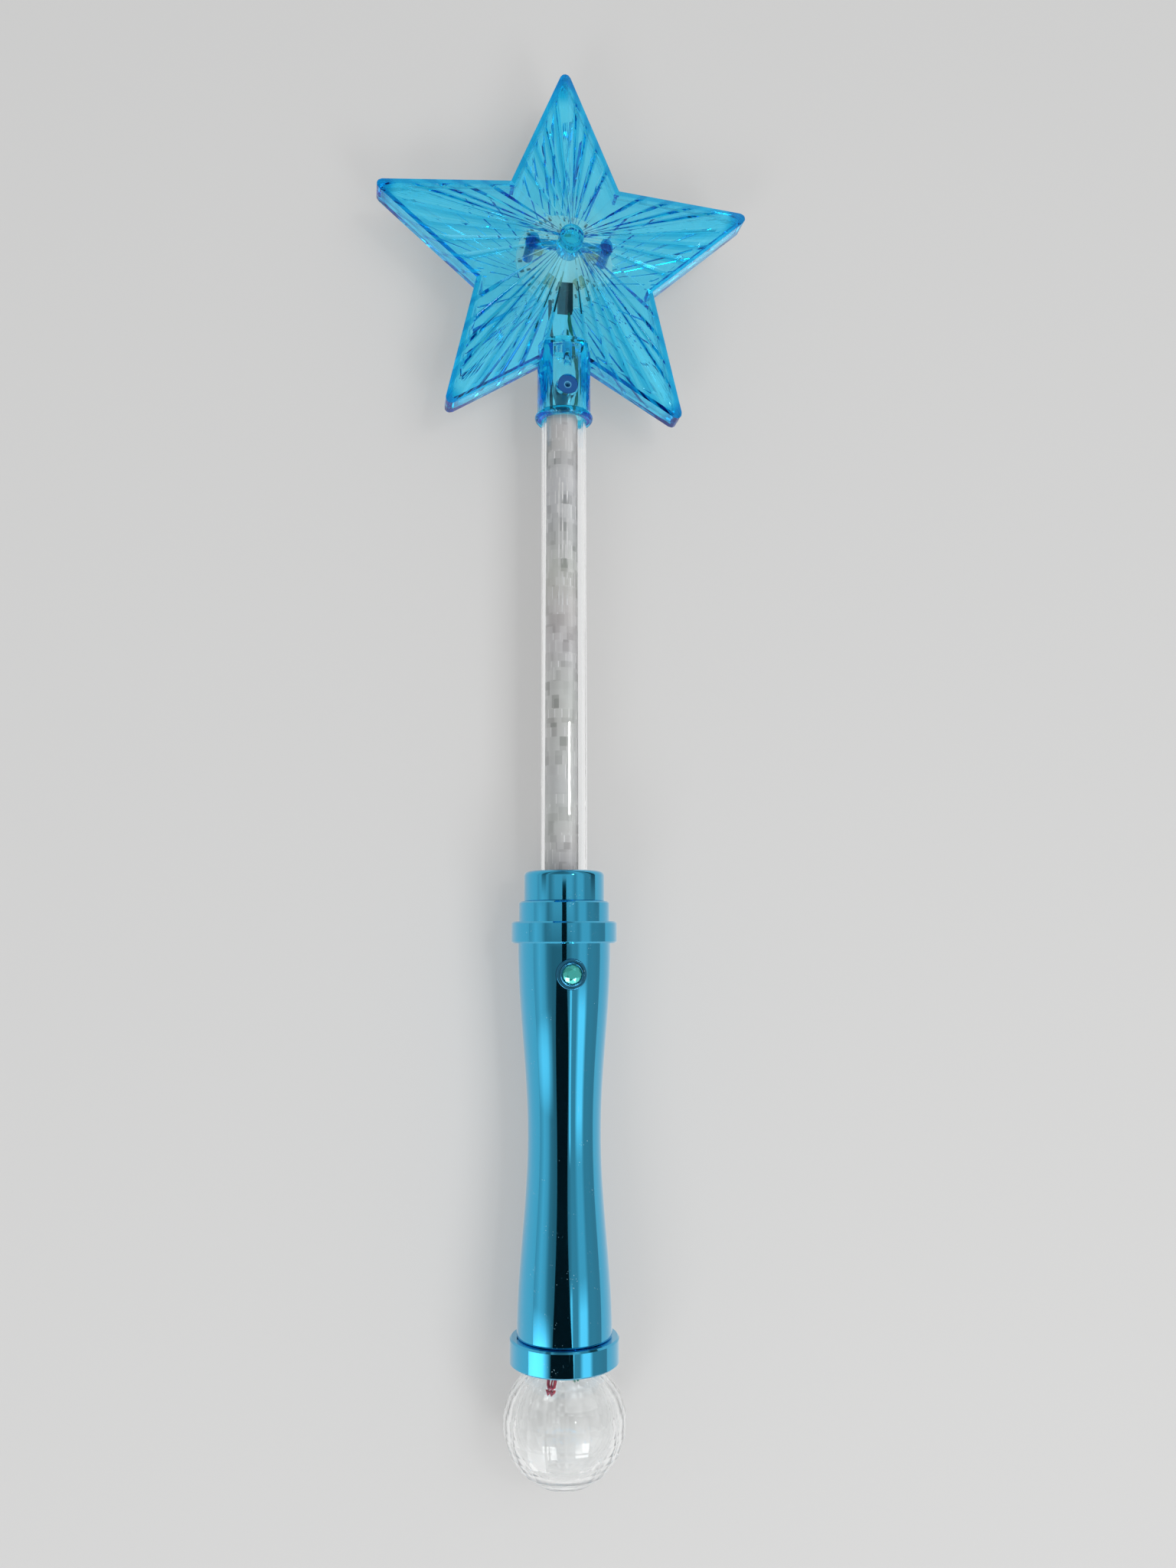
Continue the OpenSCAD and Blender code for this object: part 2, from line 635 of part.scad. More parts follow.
// Cross walls at the ends of the cell tray
module bulkheads() {
    for (y = [tray_y - fit - bulkhead_t, tray_y + tray_len + fit])
        block(grip_end_d, y, y + bulkhead_t, -grip_end_d / 2, bulkhead_top);
}

module handle_back_shell() {
    boss_low = -grip_in(screw_y) + boss_gap;
    tongue_y = door_y - tongue_len - 1;
    tongue_top = 2 * tongue_t - grip_in(door_y) + tongue_gap;
    color("royalblue") difference() {
        union() {
            difference() {
                union() {
                    handle_half(0);
                    intersection() {
                        union() {
                            board_posts();
                            bulkheads();
                        }
                        grip_core();
                    }
                }
                block(door_w + 2 * door_gap, door_y - door_gap, door_end + door_gap, -grip_end_d, door_cut_h);
            }
            above_axis(0, screw_y, boss_low) cylinder(d = screw_boss_d, h = bulkhead_top - boss_low);
        }
        above_axis(0, screw_y, boss_low - 1) cylinder(d = screw_d + fit, h = screw_len);
        intersection() {
            block(tongue_w + 4 * door_gap, tongue_y, door_y, -grip_end_d, tongue_top);
            on_axis() rotate_extrude() polygon(concat(
                [for (i = [0 : grip_steps]) [grip_in(grip_at(i)), grip_at(i)]],
                [[0, collar_y], [0, grip_y]]
            ));
        }
    }
}

module battery_door() {
    tongue_h = tongue_gap - grip_in(door_y);
    color("royalblue") difference() {
        union() {
            intersection() {
                handle_half(0);
                block(door_w, door_y, door_end, -grip_end_d, door_cut_h);
            }
            block(tongue_w, door_y - tongue_len, door_y + 2, tongue_h, tongue_h + tongue_t);
            block(tongue_w, door_y, door_y + 2, tongue_h - handle_wall, tongue_h + tongue_t);
        }
        above_axis(0, screw_y, -grip_end_d) cylinder(d = screw_d + 4 * fit, h = grip_end_d);
        above_axis(0, screw_y, -grip_end_d)
            cylinder(d = screw_head_d + 4 * fit, h = grip_end_d - screw_floor);
    }
}

module door_screw() {
    slot_len = screw_head_d * 0.6;
    slot_w = 0.6;
    slot_h = 0.4;
    color("silver") above_axis(0, screw_y, -screw_floor) difference() {
        union() {
            translate([0, 0, -screw_head_t]) cylinder(d = screw_head_d, h = screw_head_t);
            cylinder(d = screw_d, h = screw_len - 2);
        }
        for (turn = [0, 90]) rotate(turn)
            translate([-slot_len / 2, -slot_w / 2, -screw_head_t - 1]) cube([slot_len, slot_w, slot_h + 1]);
    }
}

module top_ferrule() {
    bore_r = cap_r + fit;
    out_r = ferrule_d / 2;
    color("royalblue") on_axis(ferrule_y) rotate_extrude() difference() {
        union() {
            square([out_r, ferrule_len - ferrule_round]);
            square([out_r - ferrule_round, ferrule_len]);
            translate([out_r - ferrule_round, ferrule_len - ferrule_round]) circle(ferrule_round);
        }
        translate([0, -1]) square([bore_r, ferrule_len - ferrule_top + 1]);
        square([tube_seat_r, ferrule_len + 1]);
    }
}

module end_ring() {
    out_r = end_ring_d / 2;
    color("royalblue") on_axis(ring_y) rotate_extrude() difference() {
        polygon([
            [0, 0], [out_r - collar_edge, 0], [out_r, collar_edge], [out_r, end_ring_len - collar_edge],
            [out_r - collar_edge, end_ring_len], [0, end_ring_len]
        ]);
        translate([0, spigot_y - fit - ring_y]) square([spigot_r + fit, end_ring_len]);
        translate([0, ring_lip]) square([mouth_rim_d / 2 + fit, mouth_rim_t + 2 * fit]);
        translate([0, -1]) square([mouth_d / 2 + fit, end_ring_len + 2]);
    }
}

module button_cap() {
    stem_d = plunger_d - 0.4;
    stem_low = switch_top + plunger_out;
    flange_low = flange_top - button_flange_t;
    color("royalblue") above_axis(0, button_y, 0) difference() {
        union() {
            translate([0, 0, flange_low]) cylinder(d = button_flange_d, h = button_flange_t);
            translate([0, 0, flange_low]) cylinder(d = button_d, h = button_top - flange_low);
            translate([0, 0, stem_low]) cylinder(d = stem_d, h = flange_top - stem_low);
        }
        translate([0, 0, button_top - jewel_set]) cylinder(d = jewel_d, h = jewel_set + 1);
    }
}

module button_jewel() {
    table_d = jewel_d * 0.6;
    color("turquoise") above_axis(0, button_y, button_top - jewel_set) {
        cylinder(d = jewel_d - fit, h = jewel_set);
        translate([0, 0, jewel_set]) cylinder(d1 = jewel_d - fit, d2 = table_d, h = jewel_crown);
    }
}

module switch_plunger() {
    color("dimgray") above_axis(0, button_y, switch_top - plunger_in)
        cylinder(d = plunger_d, h = plunger_in + plunger_out);
}

module switch_body() {
    well = plunger_in + button_travel + slide_fit;
    color("gray") difference() {
        block(switch_w, button_y - switch_w / 2, button_y + switch_w / 2, switch_low, switch_top);
        above_axis(0, button_y, switch_top - well) cylinder(d = plunger_d + 2 * slide_fit, h = well + 1);
    }
}

module control_board() {
    color("seagreen") block(control_w, control_y, control_y + control_len, control_h, control_h + board_t);
}

// A round lamp drawn along Z: flange below, domed body above
module round_lamp() {
    rotate_extrude() {
        square([lamp_flange_d / 2, lamp_flange_t]);
        square([lamp_d / 2, lamp_flange_t + lamp_body_len]);
        translate([0, lamp_flange_t + lamp_body_len]) intersection() {
            circle(d = lamp_d);
            square(lamp_d);
        }
    }
}

module tube_lamp() color("aliceblue", 0.8) on_axis(collar_y - lamp_flange_t - fit) round_lamp();

module battery_tray() {
    slot_w = tab_w + 4 * fit;
    slot_len = contact_t + 4 * fit;
    color("black") difference() {
        block(2 * tray_half_w, tray_y, tray_y + tray_len, tray_low, tray_roof);
        block(2 * (tray_half_w - tray_wall), tray_y + tray_wall, tray_y + tray_len - tray_wall,
            tray_low - 1, tray_roof - tray_wall);
        for (y = [leaf_y, plate_y]) block(slot_w, y - 2 * fit, y - 2 * fit + slot_len, 0, tray_roof + 1);
    }
}

module button_cells() {
    color("silver") for (i = [0 : cells - 1]) on_axis(cell_y + i * cell_t) {
        translate([0, -cell_h, 0]) cylinder(d = cell_d, h = cell_t * 0.8);
        translate([0, -cell_h, 0]) cylinder(d = cell_d * 0.8, h = cell_t - fit / 2);
    }
}

// Flat contact with a tab through the tray's roof
module contact_blank(y) {
    blank_w = cell_d * 0.75;
    block(blank_w, y, y + contact_t, cell_h - cell_d * 0.4, tray_roof - tray_wall - fit);
    block(tab_w, y, y + contact_t, 0, tray_roof + tab_rise);
}

module cell_plate() color("silver") contact_blank(plate_y);

// The same contact with a bowed leaf that presses on the cells
module cell_leaf() {
    leaf_w = 4;
    bow = cell_y - leaf_y - contact_t - fit;
    color("silver") {
        contact_blank(leaf_y);
        above_axis(-leaf_w / 2, leaf_y + contact_t, cell_h) rotate([90, 0, 90])
            linear_extrude(leaf_w) polygon([
                [-contact_t / 2, -4], [bow, 0], [-contact_t / 2, 4], [-contact_t / 2, 3.2],
                [bow - contact_t, 0], [-contact_t / 2, -3.2]
            ]);
    }
}

module battery_lead_red() color("red") lead(cell_red_route);
module battery_lead_black() color("black") lead(cell_black_route);

// The ball's facets: rings of corners from the closed end to the mouth
module ball_facets_solid() {
    rows = facet_rows - 1;
    last = rows - 1;
    points = [for (k = [0 : last], i = [0 : ball_facets - 1])
        let (lat = facet_lat(k), turn = facet_turn * (i + 0.5))
        ball_r * [cos(lat) * cos(turn), cos(lat) * sin(turn), sin(lat)]];
    sides = [for (k = [0 : last - 1], i = [0 : ball_facets - 1])
        let (a = k * ball_facets, n = (i + 1) % ball_facets)
        [a + i, a + ball_facets + i, a + ball_facets + n, a + n]];
    caps = [
        [for (i = [0 : ball_facets - 1]) i],
        [for (i = [ball_facets - 1 : -1 : 0]) last * ball_facets + i]
    ];
    polyhedron(points, concat(sides, caps), convexity = 4);
}

module prism_ball() {
    color("white", 0.4) on_axis(ball_y) difference() {
        union() {
            ball_facets_solid();
            cylinder(d = mouth_d, h = spigot_y - fit - ball_y);
            translate([0, 0, rim_y - ball_y]) cylinder(d = mouth_rim_d, h = mouth_rim_t);
        }
        sphere(r = axis_z - ball_wall);
        cylinder(d = mouth_d - 2 * mouth_wall, h = spigot_y - ball_y + 1);
    }
}

module lamp_bush() {
    color("white") on_axis(bush_y) difference() {
        cylinder(d = bush_d, h = bush_len);
        translate([0, 0, -1]) cylinder(d = lamp_d + 2 * fit, h = bush_len + 2);
        for (side = [-1, 1]) translate([side * ball_lead_x, 0, -1])
            cylinder(d = lead_d + 4 * fit, h = bush_len + 2);
    }
}

module ball_lamp() {
    color("aliceblue", 0.8) on_axis(bush_y + bush_len + fit + lamp_flange_t) mirror([0, 0, 1]) round_lamp();
}

module ball_lead_red() color("crimson") lead(ball_red_route);
module ball_lead_green() color("green") lead(ball_green_route);

star_front_shell();
star_back_shell();
neck_pin();
star_board();
star_lamps_group();
lead_connector();
star_lead_black();
star_lead_green();
shaft_tube();
hologram_film();
top_ferrule();
handle_front_shell();
handle_back_shell();
end_ring();
button_cap();
button_jewel();
switch_plunger();
switch_body();
control_board();
tube_lamp();
battery_tray();
button_cells();
cell_plate();
cell_leaf();
battery_lead_red();
battery_lead_black();
battery_door();
door_screw();
prism_ball();
lamp_bush();
ball_lamp();
ball_lead_red();
ball_lead_green();
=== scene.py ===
"""Looks of the light-up star wand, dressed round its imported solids. Sizes are in metres."""

import json
import math

import bmesh
import bpy
from mathutils import Matrix, Vector


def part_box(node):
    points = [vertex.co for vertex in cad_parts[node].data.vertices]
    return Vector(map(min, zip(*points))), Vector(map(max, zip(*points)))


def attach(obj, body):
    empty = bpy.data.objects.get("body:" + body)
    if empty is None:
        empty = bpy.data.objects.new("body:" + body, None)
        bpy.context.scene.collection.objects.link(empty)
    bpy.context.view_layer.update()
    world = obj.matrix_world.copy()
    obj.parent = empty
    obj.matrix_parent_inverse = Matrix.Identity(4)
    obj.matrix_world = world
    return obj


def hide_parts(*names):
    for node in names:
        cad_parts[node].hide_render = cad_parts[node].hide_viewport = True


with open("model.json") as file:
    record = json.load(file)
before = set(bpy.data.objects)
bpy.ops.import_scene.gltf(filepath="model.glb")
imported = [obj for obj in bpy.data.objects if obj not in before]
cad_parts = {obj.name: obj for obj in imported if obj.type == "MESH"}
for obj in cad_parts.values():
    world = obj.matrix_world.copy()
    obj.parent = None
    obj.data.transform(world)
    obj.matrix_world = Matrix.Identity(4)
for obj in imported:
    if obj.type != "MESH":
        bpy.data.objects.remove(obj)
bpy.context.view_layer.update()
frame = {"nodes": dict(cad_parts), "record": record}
scene = bpy.context.scene
scene.view_settings.view_transform = "Standard"
scene.cycles.max_bounces = 24
scene.cycles.transmission_bounces = 24
scene.cycles.glossy_bounces = 24

MM = 0.001
BODIES = frame["record"]["behaviour"]["bodies"]
BODY_OF = {node: body for body, nodes in BODIES.items() for node in nodes}


def middle(node):
    """The middle of a solid's box."""
    low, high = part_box(node)
    return (low + high) / 2


AXIS_Z = middle("shaft_tube").z
STYRENE_IOR = 1.49

# The star's own sizes, the places where its plastic is deeper, and where shade and a paler patch are painted on it
STAR = middle("star_board")
STAR_TIP = 67.2 * MM
STAR_NOTCH = 30.6 * MM
ARM_TURN = 72
GROOVES = 4
SHADE_FLANK_SHIFT = 0.4
SHADE_FLANK_HALF = 1.35
FLUTE_START = (8 * MM, 16 * MM)
SOLID_TIP = (58 * MM, 61 * MM)
BOARD_EDGE = (15 * MM, 18 * MM)
RIM_HALF = 3.4 * MM
HUB_RECESS = 3.5 * MM
HUB_RADIUS = 3.9 * MM
POST_ASIDE = 12 * MM
POST_RADIUS = 2.1 * MM
TIE_HALF = 1.3 * MM
TIE_OVERLAP = 1.5 * MM
TIE_TOP = 9.8 * MM
NECK_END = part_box("star_front_shell")[0].y
NECK_BEAD = 2.4 * MM
STAIN_DENSITY = 360
JOINT_GAP = 0.04 * MM

# The film in the tube
FILM = middle("hologram_film")
FILM_RADIUS = 5.3 * MM
# Where painted highlight lines run on the film: their height range and their offsets round it in millimetres
CREASE_GLINTS_LOW = 42 * MM
CREASE_GLINTS_HIGH = 82 * MM
CREASE_GLINTS_ASIDE = (-1.6, -0.5, 1.1)

# The grip, whose outline is one wave from end to end, and its button
GRIP_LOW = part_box("end_ring")[1].y
GRIP_LENGTH = 116.6 * MM
GRIP_END = 28.7 * MM
GRIP_WAIST = 22.4 * MM
PLATED_REACH = 11 * MM
SHORTEST_CORNER = 25 * MM
BUTTON = middle("button_cap")
BUTTON_RING = 4.6 * MM
# Middle of the band of painted shade round the button
RING_SHADE = 4.2 * MM

# The ball
BALL_REACH = 18.27 * MM
BALL_HOLLOW = 17 * MM
BALL_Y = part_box("prism_ball")[0].y + BALL_REACH
FACET_TURN = math.radians(18)
LOOP_STRETCH = 1.4


# Shader helpers

class Value:
    """A shader socket that takes Python's operators. Each operator adds a Math node."""

    def __init__(self, nodes, socket):
        self.nodes = nodes
        self.socket = socket

    def maths(self, operation, *others):
        return self.nodes.node("ShaderNodeMath", {"operation": operation}, dict(enumerate((self,) + others)))

    def reflected(self, operation, other):
        return self.nodes.node("ShaderNodeMath", {"operation": operation}, {0: other, 1: self})

    def __add__(self, other):
        return self.maths("ADD", other)

    def __sub__(self, other):
        return self.maths("SUBTRACT", other)

    def __rsub__(self, other):
        return self.reflected("SUBTRACT", other)

    def __mul__(self, other):
        return self.maths("MULTIPLY", other)

    def __truediv__(self, other):
        return self.maths("DIVIDE", other)

    def __mod__(self, other):
        return self.maths("FLOORED_MODULO", other)

    def __gt__(self, other):
        return self.maths("GREATER_THAN", other)

    def __lt__(self, other):
        return self.maths("LESS_THAN", other)

    __radd__ = __add__
    __rmul__ = __mul__

    def hypot(self, other):
        """Distance from the origin, where this value and another one are the two ways."""
        return (self * self + other * other).maths("SQRT")

    def within(self, reach, centre):
        """1 where the value is closer to a centre than a reach, and 0 elsewhere."""
        return (self - centre).maths("ABSOLUTE") < reach


class Nodes:
    """A node tree that is filled from nothing."""

    def __init__(self, tree):
        self.tree = tree
        self.tree.nodes.clear()

    def node(self, kind, settings=None, inputs=None, out=0):
        """Adds a node, sets it up, fills its sockets and returns one of its outputs."""
        made = self.tree.nodes.new(kind)
        for key, value in (settings or {}).items():
            if key == "stops":
                ramp = made.color_ramp
                for _ in value[2:]:
                    ramp.elements.new(0.5)
                for stop, (where, colour) in zip(ramp.elements, value):
                    stop.position = where
                    stop.color = (*colour, 1)
            else:
                setattr(made, key, value)
        for key, value in (inputs or {}).items():
            socket = made.inputs[key]
            if isinstance(value, Value):
                self.tree.links.new(value.socket, socket)
            elif socket.type == "RGBA":
                socket.default_value = (*value, 1)
            else:
                socket.default_value = value
        return Value(self, made.outputs[out])

    def outputs(self, *request):
        """Every output of a new node."""
        first = self.node(*request)
        return [Value(self, output) for output in first.socket.node.outputs]

    def fade(self, value, low, high, start=0.0, end=1.0):
        """A value taken from one range to another, held at both ends."""
        return self.node("ShaderNodeMapRange", inputs={0: value, 1: low, 2: high, 3: start, 4: end})

    def band(self, value, centre, inner, outer):
        """1 within an inner distance of a centre, fading to 0 at an outer one."""
        return self.fade((value - centre).maths("ABSOLUTE"), inner, outer, 1, 0)

    def rays(self):
        """Three masks: seen straight by the camera, seen through clear plastic, and seen in gloss alone."""
        ray = {value.socket.name: value for value in self.outputs("ShaderNodeLightPath")}
        through = ray["Is Transmission Ray"]
        return ray["Is Camera Ray"], through, ray["Is Glossy Ray"] * (1 - through)


class Finish(Nodes):
    """One material and the nodes that paint it, on Object coordinates."""

    def __init__(self, name):
        self.material = bpy.data.materials.new(name)
        self.material.use_nodes = True
        super().__init__(self.material.node_tree)
        self.output = self.tree.nodes.new("ShaderNodeOutputMaterial")
        self.place = self.node("ShaderNodeTexCoord", out="Object")

    def axes(self, origin):
        """Object coordinates as three values, counted from an origin."""
        moved = self.node("ShaderNodeVectorMath", {"operation": "SUBTRACT"}, {0: self.place, 1: tuple(origin)})
        return self.outputs("ShaderNodeSeparateXYZ", None, {0: moved})

    def stretched(self, x, y, z):
        """Object coordinates scaled along each axis."""
        return self.node("ShaderNodeVectorMath", {"operation": "MULTIPLY"}, {0: self.place, 1: (x, y, z)})

    def noise(self, scale, detail=2, roughness=0.5, where=None):
        """Soft clouds between 0 and 1."""
        return self.node("ShaderNodeTexNoise", inputs={
            "Vector": where or self.place, "Scale": scale, "Detail": detail, "Roughness": roughness})

    def specks(self, scale, size):
        """1 inside scattered round specks and 0 elsewhere."""
        return self.node("ShaderNodeTexVoronoi", inputs={"Vector": self.place, "Scale": scale}) < size

    def chance(self, column, row, seed=0.5):
        """A number by chance for each cell of a grid."""
        cell = self.node("ShaderNodeCombineXYZ", inputs={
            0: column.maths("FLOOR"), 1: row.maths("FLOOR"), 2: seed})
        return self.node("ShaderNodeTexWhiteNoise", {"noise_dimensions": "3D"}, {"Vector": cell})

    def tint(self, share, first, second):
        """The first colour with a share of the second."""
        return self.node("ShaderNodeMix", {"data_type": "RGBA"}, {0: share, 6: first, 7: second}, out=2)

    def bump(self, height, distance, strength):
        """A normal tilted by a height."""
        return self.node("ShaderNodeBump", inputs={"Height": height, "Distance": distance, "Strength": strength})

    def shown(self, shader):
        """The material, with a shader as its surface."""
        self.tree.links.new(shader.socket, self.output.inputs["Surface"])
        return self.material

    def surface(self, **sockets):
        """The material, with a Principled shader whose sockets are named in small letters."""
        named = {key.replace("_", " ").title().replace("Ior", "IOR"): value for key, value in sockets.items()}
        return self.shown(self.node("ShaderNodeBsdfPrincipled", inputs=named))

    def stain(self, colour, density):
        """A tint that deepens with the thickness of the plastic."""
        depth = self.node("ShaderNodeVolumeAbsorption", inputs={"Color": colour, "Density": density})
        self.tree.links.new(depth.socket, self.output.inputs["Volume"])


# Finishes

def groove_angle(share):
    """Angle off an arm's middle, in degrees, of the ray that meets the edge a share of the way from notch to tip."""
    half = math.radians(ARM_TURN / 2)
    beside = (1 - share) * STAR_NOTCH * math.sin(half)
    ahead = (1 - share) * STAR_NOTCH * math.cos(half) + share * STAR_TIP
    return math.degrees(math.atan2(beside, ahead))


def tinted_plastic():
    """Clear cyan-blue styrene with faint flow marks and small blisters. It is deeper where the moulding is solid. A
    painted shade darkens one flank of each groove, and a painted paler patch lies in front of the board."""
    paint = Finish("tinted_clear")
    x, y, z = paint.axes((STAR.x, STAR.y, AXIS_Z))
    reach = x.hypot(y)
    tips = paint.fade(reach, *SOLID_TIP)
    hub_edge = reach.within(0.5 * MM, HUB_RECESS) * 0.6
    mouth = y < NECK_END + NECK_BEAD - STAR.y
    deep = (z.maths("ABSOLUTE") < RIM_HALF) * 0.18
    for solid_place in (tips, hub_edge, mouth):
        deep = deep.maths("MAXIMUM", solid_place)
    arms_round = x.maths("ARCTAN2", y) * (180 / math.pi / ARM_TURN)
    off_arm = ((arms_round + 0.5) % 1.0 - 0.5).maths("ABSOLUTE") * ARM_TURN
    # Painted shade: one flank of each groove takes the deep tint, at a strength varied by noise
    uneven = paint.fade(paint.noise(45, 1), 0.35, 0.65, 0.5, 0.85)
    flank_shade_strength = (z > 0) * paint.fade(reach, *FLUTE_START) * uneven
    for groove in range(1, GROOVES + 1):
        flank = (off_arm - groove_angle(groove / (GROOVES + 1))).within(SHADE_FLANK_HALF, SHADE_FLANK_SHIFT)
        deep = deep.maths("MAXIMUM", flank * flank_shade_strength)
    aside = x.maths("ABSOLUTE") - POST_ASIDE
    posts = aside.hypot(y) < POST_RADIUS
    ties = ((aside < TIE_OVERLAP) * (y.maths("ABSOLUTE") < TIE_HALF) * (reach > HUB_RADIUS)
            * (z > 0) * (z < TIE_TOP))
    # Painted light: the front shell is paler in front of the board
    painted_pale_before_board = (z > 0) * paint.fade(reach, *BOARD_EDGE, 1, 0)
    flow = paint.noise(60, 3, 0.5)
    blisters = paint.specks(260, 0.3) * paint.fade(paint.noise(40, 1), 0.58, 0.64)
    # thin: the thin plastic's tint, with the painted paler patch in front of the board
    thin = paint.tint(painted_pale_before_board, (0.60, 0.90, 1.0), (0.90, 0.98, 1.0))
    # thick: the deep tint of solid plastic, which also carries the painted shade on the groove flanks
    thick = paint.tint(deep, thin, (0.012, 0.60, 0.84))
    paint.stain((0.009, 0.88, 0.975), STAIN_DENSITY)
    return paint.surface(
        base_color=paint.tint(posts.maths("MAXIMUM", ties), thick, (0.003, 0.20, 0.58)),
        roughness=paint.fade(flow, 0.3, 0.75, 0.01, 0.05),
        normal=paint.bump(flow * 0.5 + blisters * 0.1, 0.25 * MM, 0.4),
        transmission_weight=1.0, ior=STYRENE_IOR, specular_tint=(0.4, 0.8, 1.0))


def pin_plastic():
    """Deep blue plastic of the neck's pin, a little cloudy, with a painted pale highlight in its middle."""
    paint = Finish("tinted_pin")
    x, y, _ = paint.axes(middle("neck_pin"))
    rim = paint.fade(x.hypot(y), 0.9 * MM, 1.3 * MM)
    cloud = paint.noise(300, 2, 0.5)
    deep = paint.tint(cloud, (0.002, 0.07, 0.28), (0.004, 0.11, 0.36))
    # Painted highlight: inside the rim the pin is pale
    return paint.surface(
        base_color=paint.tint(rim, (0.12, 0.50, 0.80), deep),
        roughness=paint.fade(cloud, 0.3, 0.7, 0.08, 0.16), transmission_weight=0.2, ior=STYRENE_IOR)


def clear_tube():
    """Clear styrene tube with fine scuffs along it."""
    paint = Finish("clear_tube")
    scuffs = paint.fade(paint.noise(900, 3, 0.6, paint.stretched(1, 0.06, 1)), 0.6, 0.78)
    haze = paint.noise(70, 2, 0.5)
    return paint.surface(
        base_color=paint.tint(haze, (1, 1, 1), (0.975, 0.985, 0.99)),
        roughness=paint.fade(haze, 0.3, 0.7, 0.0, 0.015) + scuffs * 0.08,
        normal=paint.bump(haze, 0.2 * MM, 0.25), transmission_weight=1.0, ior=STYRENE_IOR)


def clear_ball():
    """Clear faceted ball whose facets are each a little more or less cloudy."""
    paint = Finish("clear_ball")
    x, y, z = paint.axes((0, BALL_Y, AXIS_Z))
    chance = paint.chance(
        x.maths("ARCTAN2", z) / FACET_TURN + 0.5, y.maths("ARCTAN2", x.hypot(z)) / FACET_TURN + 0.5)
    haze = paint.noise(200, 2, 0.5)
    return paint.surface(
        base_color=paint.tint(chance, (0.85, 0.86, 0.86), (0.97, 0.98, 0.98)),
        roughness=paint.fade(haze, 0.4, 0.7, 0.0, 0.02) + (chance > 0.8) * 0.2,
        normal=paint.bump(haze, 0.05 * MM, 0.2), transmission_weight=1.0, ior=STYRENE_IOR)


def laser_film():
    """Thin silvery film printed with overlapping panes, each with its own grey, and with painted crease highlights
    along its upper part.
    """
    paint = Finish("laser_film")
    x, y, z = paint.axes((FILM.x, 0, AXIS_Z))
    around = x.maths("ARCTAN2", z) * FILM_RADIUS

    def panes(width, height, slip, seed):
        """A chance for each pane of a staggered grid, and how far across its pane a point lies."""
        row = (y / height).maths("FLOOR")
        column = around / width + row * slip
        return paint.chance(column, row, seed), column % 1.0

    small, small_across = panes(2.3 * MM, 4.4 * MM, 0.37, 0.5)
    large, _ = panes(3.9 * MM, 3.0 * MM, 0.61, 7.5)
    # white: the print's pale pane edges, and the painted crease highlights added below
    white = (small_across < 0.12) * (large > 0.6)
    # Painted highlights: white lines in the film's upper part
    crease_glints = (y > CREASE_GLINTS_LOW) * (y < CREASE_GLINTS_HIGH) * paint.fade(paint.noise(160, 1), 0.35, 0.5)
    for aside in CREASE_GLINTS_ASIDE:
        white = white.maths("MAXIMUM", crease_glints * around.within(0.24 * MM, aside * MM))
    greys = ((0.0, 0.32), (0.2, 0.57), (0.45, 0.77), (1.0, 0.98))
    stops = [(where, (grey,) * 3) for where, grey in greys]
    pale = paint.node("ShaderNodeValToRGB", {"stops": stops}, {0: small * 0.7 + large * 0.3})
    hue = paint.node("ShaderNodeTexNoise", inputs={"Vector": paint.place, "Scale": 35, "Detail": 1}, out="Color")
    return paint.surface(
        base_color=paint.tint(white, paint.tint(0.1, pale, hue), (0.97, 0.97, 0.97)),
        roughness=paint.fade(large, 0, 1, 0.5, 0.25), alpha=paint.fade(small, 0, 1, 0.95, 0.74))


def plated_blue(name, colour):
    """Blue lacquer over bright plating on moulded plastic, with dust, hairline scratches and worn spots. A painted
    dark reflection darkens the ring round the button."""
    paint = Finish(name)
    peel = paint.noise(420, 2, 0.5)
    wave = paint.noise(45, 1, 0.4)
    dust = paint.specks(1500, 0.14) * paint.fade(paint.noise(240), 0.58, 0.68)
    hairs = paint.fade(paint.noise(260, 4, 0.7, paint.stretched(6, 0.35, 6)), 0.7, 0.74)
    marks = (dust * 0.9).maths("MAXIMUM", hairs * 0.35)
    x, y, z = paint.axes((BUTTON.x, BUTTON.y, AXIS_Z))
    # Painted shade: the ring round the button is darkened in place of the dark reflection it shows
    ring_painted_dark = x.hypot(y).within(0.55 * MM, RING_SHADE) * (z > 0) * 0.75
    lacquer = paint.tint(ring_painted_dark, colour, (0.006, 0.12, 0.23))
    return paint.surface(
        base_color=paint.tint(marks, lacquer, (0.45, 0.72, 0.82)),
        metallic=paint.fade(marks, 0, 1, 1.0, 0.45),
        roughness=paint.fade(wave, 0.3, 0.7, 0.04, 0.075) + marks * 0.25,
        normal=paint.bump(wave * 0.8 + peel * 0.05, 0.12 * MM, 0.15),
        coat_weight=0.6, coat_roughness=0.03)


def teal_stone():
    """Faceted acrylic stone with a foil back."""
    paint = Finish("teal_stone")
    cloud = paint.noise(900, 2, 0.6)
    return paint.surface(
        base_color=paint.tint(cloud, (0.02, 0.42, 0.40), (0.10, 0.70, 0.62)),
        metallic=paint.fade(cloud, 0.3, 0.7, 0.6, 0.85), roughness=paint.fade(cloud, 0, 1, 0.03, 0.10),
        coat_weight=1.0, coat_roughness=0.02)


